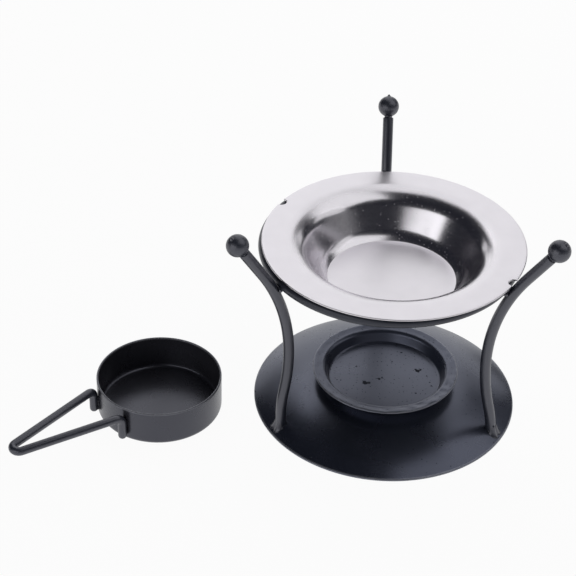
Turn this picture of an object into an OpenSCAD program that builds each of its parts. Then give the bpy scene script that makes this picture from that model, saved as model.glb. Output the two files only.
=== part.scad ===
// Wax melt burner: a welded rod stand with a candle cup, a lift-out dish and a small pan with a wire handle.
// Millimetres, +Z up, origin on the table under the centre of the base plate.

/* [Base plate] */
// Diameter of the domed base plate
base_d = 125; // [118:1:140]
// Height of the plate's flat centre above the table
base_h = 10.7; // [8:0.1:14]
// Height of the plate's cut edge
base_edge_h = 1; // [0.6:0.1:2]
// Thickness of the plate
base_sheet = 1.2; // [0.8:0.1:1.6]

/* [Candle cup] */
// Diameter of the cup's flat floor, which takes one tealight
cup_floor_d = 52; // [42:1:58]
// Depth of the cup from its crest to its floor
cup_depth = 5.5; // [4.5:0.1:9]
// Thickness of the cup's sheet
cup_sheet = 0.8; // [0.5:0.1:1.2]
// Bend radius between the floor and the wall
cup_corner_r = 1.5; // [1:0.1:2]
// Bend radius of the rolled crest
cup_crest_r = 2; // [1.2:0.1:2.4]
// Lean of the wall from upright, in degrees
cup_wall_lean = 20; // [5:1:35]
// Fall of the flange outside the crest, in degrees
cup_flange_fall = 3; // [0:1:40]
// Width of the flange outside the crest
cup_flange_w = 3.8; // [2:0.1:6]

/* [Legs and balls] */
// Diameter of the leg rod
rod_d = 5; // [4:0.1:6]
// Height of the top of the balls, the height of the stand
stand_h = 118; // [112:1:130]
// Height where a leg stands nearest the axis
waist_z = 43; // [38:1:48]
// Radius of a leg's long outward sweep
sweep_r = 93; // [85:1:110]
// Lean of a leg's straight top from upright, in degrees
top_lean = 33; // [30:0.5:38]
// Radius of the bend above a leg's foot
foot_bend_r = 60; // [40:1:80]
// Distance of a foot's axis from the edge of the base plate
foot_inset = 5.5; // [4:0.1:7]
// Direction of the right leg from the ring's centre, in degrees from +X
right_leg_az = -26; // [-40:1:-15]
// Direction of the left leg
left_leg_az = -143; // [-150:1:-135]
// Direction of the back leg
back_leg_az = 94; // [85:1:105]
// Diameter of a ball
ball_d = 10; // [8:0.1:14]

/* [Support ring] */
// Diameter of the ring's bar
ring_bar_d = 5; // [4:0.1:6]
// Height of the top of the ring, where the dish sits
ring_top_z = 87.8; // [82:0.1:92]
// How far the ring stands off the plate's centre, along X
ring_off_x = -1.9; // [-2.5:0.1:2.5]
// How far the ring stands off the plate's centre, along Y
ring_off_y = 1.6; // [-2.5:0.1:2.5]

/* [Dish] */
// Diameter of the dish over its rim
dish_d = 120; // [110:1:126]
// Width of the flat rim
dish_rim_w = 10; // [7:0.5:14]
// Depth of the dish from its rim to its floor
dish_depth = 20; // [14:0.5:26]
// Diameter of the dish's flat floor
dish_floor_d = 59; // [46:1:64]
// Thickness of the dish's sheet
dish_sheet = 0.8; // [0.5:0.1:1.2]
// Bend radius of the floor's edge
dish_edge_r = 1; // [0.6:0.1:2]
// Turn of the floor's edge, where the wall's hollow curve begins, in degrees
dish_edge_turn = 32; // [10:1:40]
// Radius of the hollow curve at the foot of the wall
dish_hollow_r = 12.5; // [6:0.5:14]
// Bend radius between the wall and the rim
dish_shoulder_r = 12; // [6:0.5:14]
// Radius of the two half-round notches in the rim's edge
notch_r = 2; // [1:0.1:3]
// Gap under the rim where the dish sits on the ring
seat_gap = 0.3; // [0.1:0.05:0.6]
// How far the loose dish lies off the ring's centre, along X
dish_off_x = 1.8; // [-1.8:0.1:1.8]
// How far the loose dish lies off the ring's centre, along Y
dish_off_y = -0.3; // [-1:0.1:1]

/* [Pan] */
// Outside diameter of the pan
pan_d = 59; // [50:1:64]
// Height of the pan
pan_h = 18.2; // [15:0.1:24]
// Thickness of the pan's sheet
pan_sheet = 0.9; // [0.6:0.1:1.4]
// Bend radius round the pan's floor
pan_corner_r = 2.2; // [1.5:0.1:4]
// Place of the pan's centre on the table, along X
pan_x = -106; // [-130:1:-104]
// Place of the pan's centre on the table, along Y
pan_y = -20.5; // [-30:0.5:-10]

/* [Pan handle] */
// Diameter of the handle's wire
wire_d = 4; // [2:0.1:4.2]
// Direction of the handle from the pan's centre, in degrees from +X
handle_az = 223; // [200:1:240]
// Distance between the two upright ends
handle_span = 24.5; // [16:0.5:34]
// Distance from the pan's centre to the centre of the bend at the tip
handle_reach = 76; // [60:0.5:90]
// Bend radius at the tip
handle_tip_r = 3.1; // [2.2:0.1:5]
// Bend radius of the elbows over the upright ends
handle_elbow_r = 3; // [2.2:0.1:4]
// Height of the arms above the table at the pan
handle_z = 14.5; // [13:0.1:16]
// Height of the bottom of the upright ends
handle_end_z = 2.4; // [2:0.1:5]
// Fall of the arms towards the tip, in degrees
handle_fall = 2.7; // [0:0.1:5]

/* [Welds] */
// Gap that a weld fills between two pieces
weld_gap = 0.1; // [0.05:0.01:0.2]
// Radius of the weld ball at a leg's foot
foot_weld_r = 5; // [4.4:0.1:6]
// Depth of that ball's centre below the plate's surface
foot_weld_sink = 2.4; // [1.5:0.1:3]
// Radius of the weld ball between a leg and the ring
ring_weld_r = 2.8; // [1.6:0.1:3]
// Diameter of the weld neck under a ball
neck_weld_d = 3.8; // [2.5:0.1:4]
// Gap between the end of a rod and its ball
neck_gap = 0.4; // [0.2:0.1:1]
// Radius of the weld bead behind an upright end of the handle
handle_weld_r = 1.6; // [0.8:0.1:1.8]
// Length of that bead
handle_weld_l = 8; // [4:0.5:9]

/* [Hidden] */
$fn = 256;

// Finish colours
coat = "#2b2c31";
pan_coat = "#3a3a3e";
weld_coat = "#232428";
bare_steel = "#d4d1d6";

// Steps in each bend of a sheet's section
bend_steps = 10;

// A bend in a rod stops this turn short at each end,
// and a ball a hair wider than the rod joins it to the next run
joint_turn = 0.05;
joint_swell = 0.02;

// One notch of the dish lies in line with the right leg and the other opposite
notch_az = right_leg_az;

// Dome of the base plate: an arc that leaves the flat centre level and ends on the cut edge
base_r = base_d / 2;
dome_flat_r = cup_floor_d / 2;
dome_span = base_r - dome_flat_r;
dome_fall = base_h - base_edge_h;
dome_r = (dome_span * dome_span + dome_fall * dome_fall) / (2 * dome_fall);
dome_z = base_h - dome_r;
dome_turn = asin(dome_span / dome_r);
// The underside runs parallel to the top down to the table
under_r = dome_r - base_sheet;
under_turn = acos(-dome_z / under_r);

// Section of the candle cup
cup_floor_z = base_h + cup_sheet / 2;
cup_wall_slope = 90 - cup_wall_lean;
cup_crest_z = cup_floor_z + cup_depth - cup_crest_r;
cup_wall_rise = cup_crest_z + cup_crest_r * cos(cup_wall_slope)
    - cup_floor_z - cup_corner_r * (1 - cos(cup_wall_slope));
cup_crest_x = dome_flat_r + (cup_corner_r + cup_crest_r) * sin(cup_wall_slope)
    + cup_wall_rise / tan(cup_wall_slope);
cup_edge_x = cup_crest_x + cup_flange_w;
cup_flange_run = cup_flange_w - cup_crest_r * sin(cup_flange_fall);
cup_edge_z = cup_crest_z + cup_crest_r * cos(cup_flange_fall) - cup_flange_run * tan(cup_flange_fall);

// The ring lies under the edge of the dish's rim
ring_r = dish_d / 2 - ring_bar_d / 2;
ring_z = ring_top_z - ring_bar_d / 2;

// A leg's outward sweep passes the ring with room for the weld
sweep_to_ring = sweep_r + rod_d / 2 + weld_gap + ring_bar_d / 2;
ring_rise = ring_z - waist_z;
sweep_x = ring_r + sqrt(sweep_to_ring * sweep_to_ring - ring_rise * ring_rise);
waist_r = sweep_x - sweep_r;
ring_weld_turn = asin(ring_rise / sweep_to_ring);
ring_weld_at = sweep_r + (rod_d + weld_gap) / 2;

// The feet stand in a circle round the plate's centre, and the legs lean to the ring, which stands a little off it:
// each leg lies in an upright plane through the ring's centre
ring_off = [ring_off_x, ring_off_y];
foot_circle_r = base_r - foot_inset;
function leg_way(az) = [cos(az), sin(az)];
function off_along(az) = ring_off * leg_way(az);
function foot_reach(az) = sqrt(foot_circle_r * foot_circle_r - ring_off * ring_off + off_along(az) * off_along(az))
    - off_along(az);

// The foot bend carries a leg out from its waist to its foot, which then stands upright
least_flare = 0.5;
function foot_flare(az) = max(least_flare, foot_reach(az) - waist_r);
function foot_turn(az) = acos(1 - foot_flare(az) / (sweep_r + foot_bend_r));
function foot_r(az) = waist_r + foot_flare(az);
function foot_z(az) = waist_z - (sweep_r + foot_bend_r) * sin(foot_turn(az));
function foot_bottom_z(az) = min(0, foot_z(az)) - rod_d;
under_z = min([for (az = [right_leg_az, left_leg_az, back_leg_az]) foot_bottom_z(az)]) - rod_d;

// The foot is cut where it meets the dome: on its upright end or, where that lies lower, on the bend above it.
// These are distances from the plate's centre and heights
function foot_spot(az) = ring_off + foot_r(az) * leg_way(az);
function foot_out(az) = norm(foot_spot(az));
function upright_foot(az) = let (off = foot_out(az) - dome_flat_r)
    [foot_out(az), dome_z + sqrt(dome_r * dome_r - off * off)];
function bent_foot(az) =
    let (
        dome_centre = [dome_flat_r, dome_z],
        way = [foot_out(az) - foot_bend_r, foot_z(az)] - dome_centre,
        away = norm(way),
        along = (dome_r * dome_r - foot_bend_r * foot_bend_r + away * away) / (2 * away),
        aside = sqrt(dome_r * dome_r - along * along)
    )
    dome_centre + (along * way + aside * [way.y, -way.x]) / away;
function foot_cut(az) = foot_z(az) > upright_foot(az).y ? upright_foot(az) : bent_foot(az);
function foot_az(az) = atan2(foot_spot(az).y, foot_spot(az).x);

// The straight top of a leg runs from the end of the sweep to the ball
top_start_r = sweep_x - sweep_r * cos(top_lean);
top_start_z = waist_z + sweep_r * sin(top_lean);
ball_along = (stand_h - ball_d / 2 - top_start_z) / cos(top_lean);
top_rod_l = ball_along - ball_d / 2 - neck_gap;

// Section of the dish: its floor turns up at the edge into a hollow curve that a straight run joins to the shoulder
dish_rim_z = ring_top_z + seat_gap + dish_sheet / 2;
dish_floor_z = dish_rim_z - dish_depth;
dish_mouth_r = dish_d / 2 - dish_rim_w;
dish_edge = [dish_floor_d / 2, dish_floor_z + dish_edge_r];
dish_edge_way = [sin(dish_edge_turn), -cos(dish_edge_turn)];
dish_edge_end = dish_edge + dish_edge_r * dish_edge_way;
dish_rise = [dish_mouth_r, dish_rim_z] - dish_edge_end;
// On a wall too short for both bends, each keeps the same share of its radius
least_run_share = 0.02;
bend_pair = 2 * (1 - cos(dish_edge_turn)) * dish_hollow_r * dish_shoulder_r;
bend_sum = 2 * dish_rise.y * dish_shoulder_r - 2 * (dish_rise * dish_edge_way) * dish_hollow_r;
bend_fit = (sqrt(bend_sum * bend_sum + 4 * bend_pair * (dish_rise * dish_rise)) - bend_sum) / (2 * bend_pair);
bend_share = min(1, (1 - least_run_share) * bend_fit);
hollow_r = bend_share * dish_hollow_r;
shoulder_r = bend_share * dish_shoulder_r;
dish_hollow = dish_edge_end - hollow_r * dish_edge_way;
dish_shoulder = [dish_mouth_r, dish_rim_z - shoulder_r];
hollow_to_shoulder = dish_shoulder - dish_hollow;
dish_wall_slope = atan2(hollow_to_shoulder.y, hollow_to_shoulder.x)
    + asin((hollow_r + shoulder_r) / norm(hollow_to_shoulder));

// The pan and the upright ends of its handle, in the handle's own frame
pan_r = pan_d / 2;
end_y = handle_span / 2;
end_r = pan_r + weld_gap + wire_d / 2;
end_x = sqrt(end_r * end_r - end_y * end_y);
end_az = asin(end_y / end_r);
// The arms run from over the ends to the bend at the tip, in a plane that falls a little
tip_along = (handle_reach - end_x) / cos(handle_fall);
tip_distance = norm([tip_along, end_y]);
arm_turn = atan2(end_y, tip_along) - asin(handle_tip_r / tip_distance);
arm_l = sqrt(tip_distance * tip_distance - handle_tip_r * handle_tip_r);
arm_heading = atan2(tan(arm_turn), cos(handle_fall));
arm_fall = asin(cos(arm_turn) * sin(handle_fall));
elbow_l = handle_elbow_r * tan((90 + arm_fall) / 2);
end_top_z = handle_z - elbow_l;
tip_z = handle_z - tip_along * sin(handle_fall);

// Points of a bend about c, each with its heading; a rising heading turns left
function bend(c, r, from, to) =
    let (side = sign(to - from))
    [for (i = [0 : bend_steps])
        let (a = from + (to - from) * i / bend_steps)
        [c.x + side * r * sin(a), c.y - side * r * cos(a), a]];

// Outline of a sheet of thickness t whose middle follows a path of points with headings
function sheet_outline(path, t) = concat(
    [for (p = path) [p.x - t / 2 * sin(p.z), p.y + t / 2 * cos(p.z)]],
    [for (i = [len(path) - 1 : -1 : 0])
        let (p = path[i])
        [p.x + t / 2 * sin(p.z), p.y - t / 2 * cos(p.z)]]);

// Points of the dome's section, from the flat centre outwards
function dome_arc(r, turn) =
    [for (i = [0 : bend_steps])
        let (a = turn * i / bend_steps)
        [dome_flat_r + r * sin(a), dome_z + r * cos(a)]];

function dome_under() =
    let (arc = dome_arc(under_r, under_turn))
    [for (i = [bend_steps : -1 : 0]) arc[i]];

// Round bar bent about the origin in the X-Y plane, between two angles from +X, with a ball at each listed angle
module bent_bar(r, from, to, d, balls) {
    rotate([0, 0, from + joint_turn])
        rotate_extrude(angle = to - from - 2 * joint_turn)
        translate([r, 0])
        circle(d = d);
    for (a = balls)
        rotate([0, 0, a])
            translate([r, 0])
            sphere(d = d + joint_swell);
}

// The same bar, bent about a point of the X-Z plane
module upright_bend(c, r, from, to, d, balls) {
    translate([c.x, 0, c.y])
        rotate([90, 0, 0])
        bent_bar(r, from, to, d, balls);
}

// Everything under the top surface of the base plate
module under_dome() {
    rotate_extrude()
        polygon(concat([[0, base_h]], dome_arc(dome_r, dome_turn), [[base_r, under_z], [0, under_z]]));
}

// Frame of a leg: X runs from the ring's axis towards the leg
module at_leg(az) {
    translate([ring_off_x, ring_off_y, 0])
        rotate([0, 0, az])
        children();
}

// A leg's rod in its frame's X-Z plane, before its foot is cut to the dome.
// The ball at the sweep's lower end joins it to the foot bend
module leg_rod(az) {
    upright_bend([sweep_x, waist_z], sweep_r, 180 - top_lean, 180 + foot_turn(az), rod_d,
        [180 - top_lean, 180 + foot_turn(az)]);
    upright_bend([foot_r(az) - foot_bend_r, foot_z(az)], foot_bend_r, 0, foot_turn(az), rod_d, [0]);
    translate([foot_r(az), 0, foot_bottom_z(az)])
        cylinder(d = rod_d, h = foot_z(az) - foot_bottom_z(az));
    along_top(0)
        cylinder(d = rod_d, h = top_rod_l);
}

// Frame on a leg's straight top, with Z along the rod
module along_top(l) {
    translate([top_start_r, 0, top_start_z])
        rotate([0, top_lean, 0])
        translate([0, 0, l])
        children();
}

module ring_bar() {
    rotate_extrude()
        translate([ring_r, ring_z])
        circle(d = ring_bar_d);
}

module base_plate() {
    color(coat)
        rotate_extrude()
        polygon(concat([[0, base_h]], dome_arc(dome_r, dome_turn), [[base_r, 0]],
            dome_under(), [[0, base_h - base_sheet]]));
}

module candle_cup() {
    path = concat(
        [[0, cup_floor_z, 0]],
        bend([dome_flat_r, cup_floor_z + cup_corner_r], cup_corner_r, 0, cup_wall_slope),
        bend([cup_crest_x, cup_crest_z], cup_crest_r, cup_wall_slope, -cup_flange_fall),
        [[cup_edge_x, cup_edge_z, -cup_flange_fall]]);
    color(coat)
        rotate_extrude()
        polygon(sheet_outline(path, cup_sheet));
}

module leg(az) {
    color(coat)
        difference() {
            at_leg(az)
                leg_rod(az);
            under_dome();
        }
}

module ball(az) {
    color(coat)
        at_leg(az)
        along_top(ball_along)
        sphere(d = ball_d);
}

module support_ring() {
    color(coat)
        translate([ring_off_x, ring_off_y, 0])
        ring_bar();
}

module foot_weld(az) {
    dome_turn_here = asin((foot_cut(az).x - dome_flat_r) / dome_r);
    color(weld_coat)
        difference() {
            rotate([0, 0, foot_az(az)])
                translate([foot_cut(az).x, 0, foot_cut(az).y])
                rotate([0, dome_turn_here, 0])
                translate([0, 0, -foot_weld_sink])
                sphere(r = foot_weld_r);
            under_dome();
            at_leg(az)
                leg_rod(az);
        }
}

// The weld ball's poles lie in the ring and in the rod, so that both are cut away
module ring_weld(az) {
    color(weld_coat)
        at_leg(az)
        difference() {
            translate([sweep_x, 0, waist_z])
                rotate([0, ring_weld_turn, 0])
                translate([-ring_weld_at, 0, 0])
                rotate([0, 90, 0])
                sphere(r = ring_weld_r);
            ring_bar();
            leg_rod(az);
        }
}

module neck_weld(az) {
    color(weld_coat)
        at_leg(az)
        along_top(top_rod_l)
        difference() {
            cylinder(d = neck_weld_d, h = neck_gap + ball_d / 2);
            translate([0, 0, neck_gap + ball_d / 2])
                sphere(d = ball_d);
        }
}

module dish() {
    path = concat(
        [[0, dish_floor_z, 0]],
        bend(dish_edge, dish_edge_r, 0, dish_edge_turn),
        bend(dish_hollow, hollow_r, dish_edge_turn, dish_wall_slope),
        bend(dish_shoulder, shoulder_r, dish_wall_slope, 0),
        [[dish_d / 2, dish_rim_z, 0]]);
    color(bare_steel)
        translate([ring_off_x + dish_off_x, ring_off_y + dish_off_y, 0])
        difference() {
            rotate_extrude()
                polygon(sheet_outline(path, dish_sheet));
            for (turn = [0, 180])
                rotate([0, 0, notch_az + turn])
                    translate([dish_d / 2, 0, dish_rim_z - dish_sheet])
                    cylinder(r = notch_r, h = 2 * dish_sheet);
        }
}

// Frame of the pan, with X along its handle
module at_pan() {
    translate([pan_x, pan_y, 0])
        rotate([0, 0, handle_az])
        children();
}

module pan() {
    corner = [pan_r - pan_sheet / 2 - pan_corner_r, pan_sheet / 2 + pan_corner_r];
    path = concat(
        [[0, pan_sheet / 2, 0]],
        bend(corner, pan_corner_r, 0, 90),
        [[pan_r - pan_sheet / 2, pan_h, 90]]);
    color(pan_coat)
        at_pan()
        rotate_extrude()
        polygon(sheet_outline(path, pan_sheet));
}

// One arm of the handle with its elbow and upright end; side is 1 or -1
module handle_arm(side) {
    translate([end_x, side * end_y, 0])
        rotate([0, 0, -side * arm_heading]) {
            translate([0, 0, handle_end_z + wire_d / 2])
                cylinder(d = wire_d, h = end_top_z - handle_end_z - wire_d / 2);
            translate([0, 0, handle_end_z + wire_d / 2])
                sphere(d = wire_d + joint_swell);
            upright_bend([handle_elbow_r, end_top_z], handle_elbow_r, 90 - arm_fall, 180, wire_d,
                [90 - arm_fall, 180]);
            translate([0, 0, handle_z])
                rotate([0, 90 + arm_fall, 0])
                translate([0, 0, elbow_l])
                cylinder(d = wire_d, h = arm_l - elbow_l);
        }
}

module handle_tip() {
    half_turn = 90 - arm_turn;
    translate([handle_reach, 0, tip_z])
        rotate([0, handle_fall, 0])
        bent_bar(handle_tip_r, -half_turn, half_turn, wire_d, [-half_turn, half_turn]);
}

module pan_handle() {
    color(coat)
        at_pan() {
            for (side = [1, -1])
                handle_arm(side);
            handle_tip();
        }
}

module handle_weld(side) {
    upright_z = (handle_end_z + end_top_z) / 2;
    color(weld_coat)
        at_pan()
        difference() {
            rotate([0, 0, side * end_az])
                translate([pan_r + weld_gap / 2, 0, upright_z - handle_weld_l / 2])
                cylinder(r = handle_weld_r, h = handle_weld_l);
            cylinder(r = pan_r, h = pan_h);
            handle_arm(side);
        }
}

base_plate();
candle_cup();
leg(right_leg_az);  // leg_right
leg(left_leg_az);  // leg_left
leg(back_leg_az);  // leg_back
ball(right_leg_az);  // ball_right
ball(left_leg_az);  // ball_left
ball(back_leg_az);  // ball_back
support_ring();
foot_weld(right_leg_az);  // foot_weld_right
foot_weld(left_leg_az);  // foot_weld_left
foot_weld(back_leg_az);  // foot_weld_back
ring_weld(right_leg_az);  // ring_weld_right
ring_weld(left_leg_az);  // ring_weld_left
ring_weld(back_leg_az);  // ring_weld_back
neck_weld(right_leg_az);  // neck_weld_right
neck_weld(left_leg_az);  // neck_weld_left
neck_weld(back_leg_az);  // neck_weld_back
dish();
pan();
pan_handle();
handle_weld(1);  // handle_weld_front
handle_weld(-1);  // handle_weld_back
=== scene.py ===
import math
from functools import partial

import bmesh
import bpy
from bpy.props import FloatProperty, FloatVectorProperty, IntProperty, PointerProperty
from bpy.types import Node, NodeSocket, Operator, Panel, PropertyGroup
from mathutils import Matrix, Vector, noise


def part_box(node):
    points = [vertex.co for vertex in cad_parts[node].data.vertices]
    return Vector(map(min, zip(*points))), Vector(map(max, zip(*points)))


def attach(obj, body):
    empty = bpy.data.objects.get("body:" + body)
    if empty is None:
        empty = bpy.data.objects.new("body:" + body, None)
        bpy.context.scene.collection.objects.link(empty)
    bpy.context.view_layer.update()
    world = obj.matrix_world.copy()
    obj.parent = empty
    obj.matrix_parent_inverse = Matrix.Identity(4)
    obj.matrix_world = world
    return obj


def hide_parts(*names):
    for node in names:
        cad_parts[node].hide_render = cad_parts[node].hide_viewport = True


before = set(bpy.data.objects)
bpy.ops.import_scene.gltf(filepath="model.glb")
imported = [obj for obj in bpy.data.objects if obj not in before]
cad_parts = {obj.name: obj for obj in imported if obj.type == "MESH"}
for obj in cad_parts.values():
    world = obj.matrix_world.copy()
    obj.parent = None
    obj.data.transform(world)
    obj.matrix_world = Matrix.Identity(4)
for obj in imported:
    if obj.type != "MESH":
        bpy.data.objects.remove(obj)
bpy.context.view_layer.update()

bl_info = {
    "name": "Wax melt burner",
    "version": (1, 0, 0),
    "blender": (4, 5, 0),
    "location": "3D View > Sidebar > Burner",
    "description": "Dresses the packed solids of a welded wax melt burner with its dish and pan",
    "category": "Object",
}

MM = 0.001
LEGS = ("right", "left", "back")
# Each softbox has a name, its centre from a point on the plate's axis as high as the ring, the way its back
# faces, its width and height and how bright it looks; lengths are in metres
SOFTBOXES = (
    ("top_softbox", (0.73, 0.15, 1.0), (0, 0, 1), (1.14, 1.5), 1.0),
    ("top_left_softbox", (-0.04, 0.85, 1.0), (0, 0, 1), (0.32, 1.5), 1.05),
    ("top_left_middle_softbox", (-0.3, 0.95, 1.0), (0, 0, 1), (0.2, 1.3), 1.1),
    ("top_left_outer_softbox", (-0.5, 1.14, 1.0), (0, 0, 1), (0.2, 0.92), 1.4),
    ("top_back_softbox", (0.31, 1.25, 1.0), (0, 0, 1), (0.38, 0.7), 1.05),
    ("top_far_left_softbox", (-0.74, 1.3, 1.0), (0, 0, 1), (0.28, 0.6), 1.4),
    ("right_softbox", (1.3, 0.15, 0.78), (1, 0, 0), (1.2, 0.54), 0.8),
    ("right_card", (1.3, -0.06, 0.49), (1, 0, 0), (0.3, 0.1), 0.4),
    ("right_low_card", (1.35, -0.4, 0.38), (1, 0, 0), (1.3, 0.45), 0.13),
    ("back_softbox", (-0.11, 1.6, 0.46), (0, 1, 0), (1.22, 1.08), 1.1),
    ("back_right_card", (0.8, 1.6, 0.55), (0, 1, 0), (0.6, 0.6), 0.9),
    ("back_left_card", (-0.98, 1.5, 0.3), (-0.98, 1.5, 0.3), (0.6, 0.7), 1.0),
    ("front_left_softbox", (-0.73, -0.9, 0.31), (-0.73, -0.9, 0.31), (1.28, 0.51), 1.55),
    ("front_low_card", (0.55, -1.22, 0.19), (0.55, -1.22, 0.19), (1.9, 0.3), 0.4),
)
# Chips in the cup's floor, as x, y and radius in millimetres from its centre
CUP_CHIPS = (
    (-9.0, -6.3, 1.3), (-7.2, -6.2, 0.8), (-2.6, -2.5, 0.8), (-1.0, -1.6, 0.55), (15.7, 5.8, 1.1),
    (14.8, 6.7, 0.6), (16.9, 6.9, 0.6), (-13.9, 5.8, 0.5), (7.4, 19.4, 0.5), (15.3, -11.4, 0.55),
    (-9.8, -13.3, 0.35), (-3.9, -24.7, 0.5), (-22.5, -5.5, 0.35), (-20.6, -5.7, 0.35), (20.4, 2.4, 0.45),
    (21.9, -2.4, 0.5), (22.6, -4.9, 0.4), (-17.2, -12.9, 0.3), (9.0, -7.0, 0.3), (3.2, 11.5, 0.3),
)


def length(name, mm, description):
    """A length that a user may change, given in millimetres and kept in metres."""
    return FloatProperty(name=name, description=description, default=mm * MM, unit="LENGTH",
                         subtype="DISTANCE")


def turn(name, degrees, description):
    """An angle that a user may change, given in degrees and kept in radians."""
    return FloatProperty(name=name, description=description, default=math.radians(degrees), unit="ROTATION",
                         subtype="ANGLE")


def linear(code):
    """Linear colour from an sRGB hex value."""
    parts = [int(code[i:i + 2], 16) / 255 for i in (1, 3, 5)]
    return tuple(c / 12.92 if c <= 0.04045 else ((c + 0.055) / 1.055) ** 2.4 for c in parts)


def colour(name, code, description):
    """A colour that a user may change, given as an sRGB hex value."""
    return FloatVectorProperty(name=name, description=description, default=linear(code), subtype="COLOR",
                               min=0, max=1)


class PlateSizes(PropertyGroup):
    """The domed base plate and its candle cup."""
    diameter: length("Plate diameter", 125, "Diameter of the domed plate")
    height: length("Plate height", 10.7, "Height of the plate's flat centre")
    edge_height: length("Edge height", 1, "Height of the plate's cut edge")
    sheet: length("Plate sheet", 1.2, "Thickness of the plate")
    cup_floor: length("Cup floor", 52, "Diameter of the cup's flat floor")
    cup_depth: length("Cup depth", 5.5, "Depth from the cup's crest to its floor")
    cup_sheet: length("Cup sheet", 0.8, "Thickness of the cup")
    cup_corner: length("Cup corner", 1.5, "Bend between the cup's floor and wall")
    cup_crest: length("Cup crest", 2, "Bend of the cup's rolled crest")
    cup_flange: length("Cup flange", 3.8, "Width of the flange outside the crest")
    cup_lean: turn("Wall lean", 20, "Lean of the cup's wall from upright")
    cup_fall: turn("Flange fall", 3, "Fall of the flange outside the crest, before it was dressed")
    cup_dent: length("Flange dents", 0.28, "Depth of the hammer dents in the cup's flange")


class RodSizes(PropertyGroup):
    """The legs with their balls, and the ring."""
    rod: length("Rod diameter", 5, "Diameter of the leg rod")
    ball: length("Ball diameter", 10, "Diameter of a ball")
    height: length("Stand height", 118, "Height of the top of the balls")
    waist: length("Waist height", 43, "Height where a leg stands nearest the axis")
    sweep: length("Sweep radius", 93, "Radius of a leg's long outward sweep")
    foot_bend: length("Foot bend", 60, "Radius of the bend above a foot")
    foot_inset: length("Foot inset", 5.5, "Distance of a foot's axis from the plate's edge")
    top_lean: turn("Top lean", 33, "Lean of a leg's straight top from upright")
    right_leg: turn("Right leg", -26, "Direction of the right leg from the ring's centre")
    left_leg: turn("Left leg", -143, "Direction of the left leg from the ring's centre")
    back_leg: turn("Back leg", 94, "Direction of the back leg from the ring's centre")
    ring_bar: length("Ring bar", 5, "Diameter of the ring's bar")
    ring_top: length("Ring top", 87.8, "Height of the top of the ring")
    ring_off_x: length("Ring off along X", -1.9, "How far the ring stands off the plate's centre, along X")
    ring_off_y: length("Ring off along Y", 1.6, "How far the ring stands off the plate's centre, along Y")
    weld_gap: length("Weld gap", 0.1, "Gap that a weld fills")
    neck_gap: length("Neck gap", 0.4, "Gap between a rod's end and its ball")
    sides: IntProperty(name="Rod sides", description="Faces round a rod", default=40, min=12, max=96)


class DishSizes(PropertyGroup):
    """The loose dish."""
    diameter: length("Dish diameter", 120, "Diameter over the rim")
    rim: length("Rim width", 10, "Width of the flat rim")
    depth: length("Dish depth", 20, "Depth from the rim to the floor")
    floor: length("Dish floor", 59, "Diameter of the flat floor")
    sheet: length("Dish sheet", 0.8, "Thickness of the dish")
    edge: length("Floor edge", 1, "Bend of the floor's edge")
    edge_turn: turn("Floor edge turn", 32, "Turn of the floor's edge, where the wall's hollow curve begins")
    hollow: length("Wall hollow", 12.5, "Radius of the hollow curve at the foot of the wall")
    shoulder: length("Shoulder bend", 12, "Bend between the wall and the rim")
    seat_gap: length("Seat gap", 0.3, "Gap under the rim where the dish sits on the ring")
    off_x: length("Dish off along X", 1.8, "How far the dish lies off the ring's centre, along X")
    off_y: length("Dish off along Y", -0.3, "How far the dish lies off the ring's centre, along Y")
    notch: length("Notch radius", 2.7, "Radius of the two notches in the rim")


class PanSizes(PropertyGroup):
    """The small pan and its wire handle."""
    diameter: length("Pan diameter", 59, "Outside diameter of the pan")
    height: length("Pan height", 18.2, "Height of the pan")
    sheet: length("Pan sheet", 0.9, "Thickness of the pan")
    corner: length("Pan corner", 2.2, "Bend round the pan's floor")
    wire: length("Wire diameter", 4, "Diameter of the handle's wire")
    direction: turn("Handle direction", 223, "Direction of the handle seen from above")
    span: length("Handle span", 24.5, "Distance between the upright ends")
    reach: length("Handle reach", 76, "Distance from the pan's centre to the tip's bend")
    tip: length("Tip bend", 3.1, "Bend at the tip")
    elbow: length("Elbow bend", 3, "Bend over the upright ends")
    arm_height: length("Arm height", 14.5, "Height of the arms at the pan")
    end_height: length("End height", 2.4, "Height of the bottom of the upright ends")
    fall: turn("Handle fall", 2.7, "Fall of the arms towards the tip")


class Finishes(PropertyGroup):
    """Colours of the finishes and of the stage."""
    coat: colour("Black coat", "#22252E", "Satin powder coat of the stand and the handle")
    # Paler line along cut edges: partly coat rubbed thin, partly a painted highlight
    worn_edge_and_highlight: colour("Worn coat and painted highlight", "#8A8B90", "Coat rubbed thin on a cut edge, with a painted highlight along it")
    chip: colour("Chip", "#08080A", "Pits in the coat")
    dust: colour("Dust", "#5A5B60", "Dust in the coat")
    pan: colour("Pan coat", "#2A2A2F", "Satin coat of the pan")
    steel: colour("Bare steel", "#DFDCE1", "Bare steel of the dish")
    # Painted shade: the dish's underside is coloured dark for the shadow under its rim
    underside_shade: colour("Painted shade", "#1C1B1C", "Soot on the underside of the dish")
    floor: colour("Floor", "#F6F6F6", "Pale table top")
    studio: colour("Studio", "#22232A", "Dim studio round the softboxes")


def arc(centre, radius, start, end, steps):
    """Points of a bend in a section with their headings; a rising heading turns left."""
    side = 1 if end > start else -1
    found = []
    for i in range(steps + 1):
        a = start + (end - start) * i / steps
        found.append((centre[0] + side * radius * math.sin(a), centre[1] - side * radius * math.cos(a), a))
    return found


def run(start, end, steps):
    """Points between two points of a section, without the last."""
    return [tuple(a + (b - a) * i / steps for a, b in zip(start, end)) for i in range(steps)]


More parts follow.
